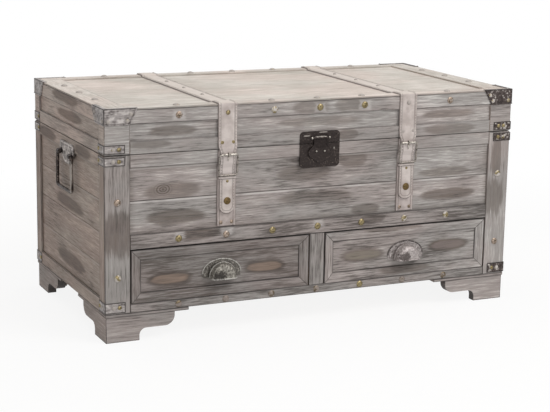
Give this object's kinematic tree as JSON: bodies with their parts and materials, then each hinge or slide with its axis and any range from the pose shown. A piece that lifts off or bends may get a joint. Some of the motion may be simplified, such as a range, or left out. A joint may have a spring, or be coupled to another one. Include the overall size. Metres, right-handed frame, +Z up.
{
  "type": "mule chest",
  "caption": "Plank storage chest with a hinged, strap-bound lid over a trunk, drawers below it, bracket feet, a hasp and side bail handles.",
  "frame": {"origin": "on the floor, under the middle of the chest's box, pulls and hinges included", "axes": "+X to the right along the front, +Y from the front to the back, +Z up"},
  "size_m": [0.924, 0.486, 0.458],
  "materials": {
    "washed_wood": "whitewashed, worn",
    "plain_wood": "bare, dull",
    "leather": "whitewashed, stitched",
    "brass": "aged",
    "washed_metal": "hammered, rubbed with whitewash",
    "dark_iron": "dark brown, hammered",
    "aged_steel": "aged"
  },
  "bodies": {
    "carcass": {"front_stiles": "washed_wood", "side_stiles": "washed_wood", "front_top_rail": "washed_wood", "side_top_rails": "washed_wood", "side_bottom_rails": "washed_wood", "back_frame": "washed_wood", "drawer_rail": "washed_wood", "bottom_rail": "washed_wood", "centre_stile": "washed_wood", "side_panel_left": "washed_wood", "side_panel_right": "washed_wood", "front_panel": "washed_wood", "back_panel": "washed_wood", "foot_front_left": "washed_wood", "foot_front_right": "washed_wood", "foot_back_left": "washed_wood", "foot_back_right": "washed_wood", "foot_pads": "washed_wood", "trunk_floor": "plain_wood", "base_board": "plain_wood", "drawer_partition": "plain_wood", "drawer_guides": "plain_wood", "foot_blocks": "plain_wood", "lower_straps": "leather", "body_tacks": "brass", "body_corner_brackets": "washed_metal", "handle_plates": "washed_metal", "hasp_lower_plate": "dark_iron", "hinge_body_leaves": "aged_steel", "hinge_pins": "aged_steel"},
    "lid": {"lid_top_panel": "washed_wood", "lid_front_board": "washed_wood", "lid_back_board": "washed_wood", "lid_side_boards": "washed_wood", "lid_top_battens": "washed_wood", "lid_upper_battens": "washed_wood", "lid_lower_battens": "washed_wood", "lid_stiles": "washed_wood", "lid_corner_caps": "washed_metal", "lid_corner_brackets": "washed_metal", "lid_tacks": "brass", "upper_strap_left": "leather", "upper_strap_right": "leather", "hinge_lid_leaves": "aged_steel", "hasp_upper_plate": "dark_iron", "hasp_pin": "dark_iron"},
    "hasp": {"hasp_flap": "dark_iron"},
    "strap_tail_left": {"strap_tail_left": "leather", "strap_fittings_left": "aged_steel"},
    "strap_tail_right": {"strap_tail_right": "leather", "strap_fittings_right": "aged_steel"},
    "drawer_left": {"drawer_left_front": "washed_wood", "drawer_left_box": "plain_wood", "cup_pull_left": "washed_metal"},
    "drawer_right": {"drawer_right_front": "washed_wood", "drawer_right_box": "plain_wood", "cup_pull_right": "washed_metal"},
    "bail_left": {"bail_left": "dark_iron"},
    "bail_right": {"bail_right": "dark_iron"}
  },
  "joints": [
    {"name": "lid_hinge", "type": "hinge", "parent": "carcass", "child": "lid", "pos_m": [0, 0.23945, 0.36675], "axis": [-1, 0, 0], "range_deg": [0, 95]},
    {"name": "hasp_hinge", "type": "hinge", "parent": "lid", "child": "hasp", "pos_m": [0, -0.22965, 0.378], "axis": [-1, 0, 0], "range_deg": [0, 150]},
    {"name": "strap_left_bend", "type": "hinge", "parent": "lid", "child": "strap_tail_left", "pos_m": [-0.2, -0.2275, 0.3675], "axis": [-1, 0, 0], "range_deg": [0, 90]},
    {"name": "strap_right_bend", "type": "hinge", "parent": "lid", "child": "strap_tail_right", "pos_m": [0.2, -0.2275, 0.3675], "axis": [-1, 0, 0], "range_deg": [0, 90]},
    {"name": "drawer_left_slide", "type": "slide", "parent": "carcass", "child": "drawer_left", "axis": [0, -1, 0], "range_m": [0, 0.3]},
    {"name": "drawer_right_slide", "type": "slide", "parent": "carcass", "child": "drawer_right", "axis": [0, -1, 0], "range_m": [0, 0.3]},
    {"name": "bail_left_hinge", "type": "hinge", "parent": "carcass", "child": "bail_left", "pos_m": [-0.457, 0.00565, 0.333], "axis": [0, 1, 0], "range_deg": [0, 90]},
    {"name": "bail_right_hinge", "type": "hinge", "parent": "carcass", "child": "bail_right", "pos_m": [0.457, 0.00565, 0.333], "axis": [0, -1, 0], "range_deg": [0, 90]}
  ]
}
